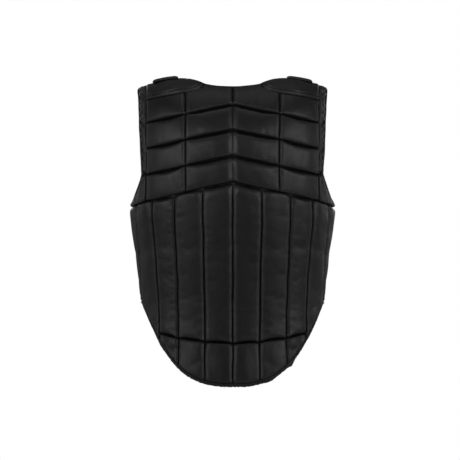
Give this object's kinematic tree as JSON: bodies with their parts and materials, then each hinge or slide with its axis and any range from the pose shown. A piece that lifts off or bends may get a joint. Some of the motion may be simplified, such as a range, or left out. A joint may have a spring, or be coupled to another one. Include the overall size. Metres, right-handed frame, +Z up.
{
  "type": "equestrian body protector",
  "caption": "Quilted foam riding vest in black synthetic leather, with a chevron yoke, long back channels, a rounded tail, open neck and armholes and a closed front.",
  "frame": {"origin": "midway between the shoulders, level with the underside of the shoulder pads", "axes": "+Z up along the wearer's spine, -Y out of the back, +X towards the wearer's right"},
  "size_m": [0.4008, 0.2858, 0.6022],
  "materials": {
    "cover": "black polyurethane-coated synthetic leather over foam, soft satin",
    "binding": "the same black synthetic leather, rolled over the edges",
    "webbing": "black ribbed elastic webbing",
    "zip": "black moulded plastic zip",
    "lining": "black knitted mesh lining"
  },
  "bodies": {
    "root": {"yoke_row1_inner_right": "cover", "yoke_row1_inner_left": "cover", "yoke_row1_outer_right": "cover", "yoke_row1_outer_left": "cover", "yoke_row2_inner_right": "cover", "yoke_row2_inner_left": "cover", "yoke_row2_outer_right": "cover", "yoke_row2_outer_left": "cover", "yoke_row3_inner_right": "cover", "yoke_row3_inner_left": "cover", "yoke_row3_outer_right": "cover", "yoke_row3_outer_left": "cover", "yoke_row4_inner_right": "cover", "yoke_row4_inner_left": "cover", "yoke_row4_outer_right": "cover", "yoke_row4_outer_left": "cover", "shoulder_cap_right": "cover", "shoulder_cap_left": "cover", "armhole_band_right": "cover", "armhole_band_left": "cover", "underarm_gusset_right": "cover", "underarm_gusset_left": "cover", "back_channel1_right": "cover", "back_channel1_left": "cover", "back_channel2_right": "cover", "back_channel2_left": "cover", "back_channel3_right": "cover", "back_channel3_left": "cover", "back_channel4_right": "cover", "back_channel4_left": "cover", "back_channel5_right": "cover", "back_channel5_left": "cover", "front_channel1_right": "cover", "front_channel1_left": "cover", "front_channel2_right": "cover", "front_channel2_left": "cover", "front_channel3_right": "cover", "front_channel3_left": "cover", "tail_block1_right": "cover", "tail_block1_left": "cover", "tail_block2_right": "cover", "tail_block2_left": "cover", "tail_block3_right": "cover", "tail_block3_left": "cover", "front_shoulder_right": "cover", "front_shoulder_left": "cover", "chest_row1_right": "cover", "chest_row1_left": "cover", "chest_row2_right": "cover", "chest_row2_left": "cover", "chest_row3_right": "cover", "chest_row3_left": "cover", "front_zip": "zip", "shoulder_tab_right": "webbing", "shoulder_tab_left": "webbing", "hem_binding": "binding", "neck_binding": "binding", "armhole_binding_right": "binding", "armhole_binding_left": "binding"}
  },
  "joints": []
}
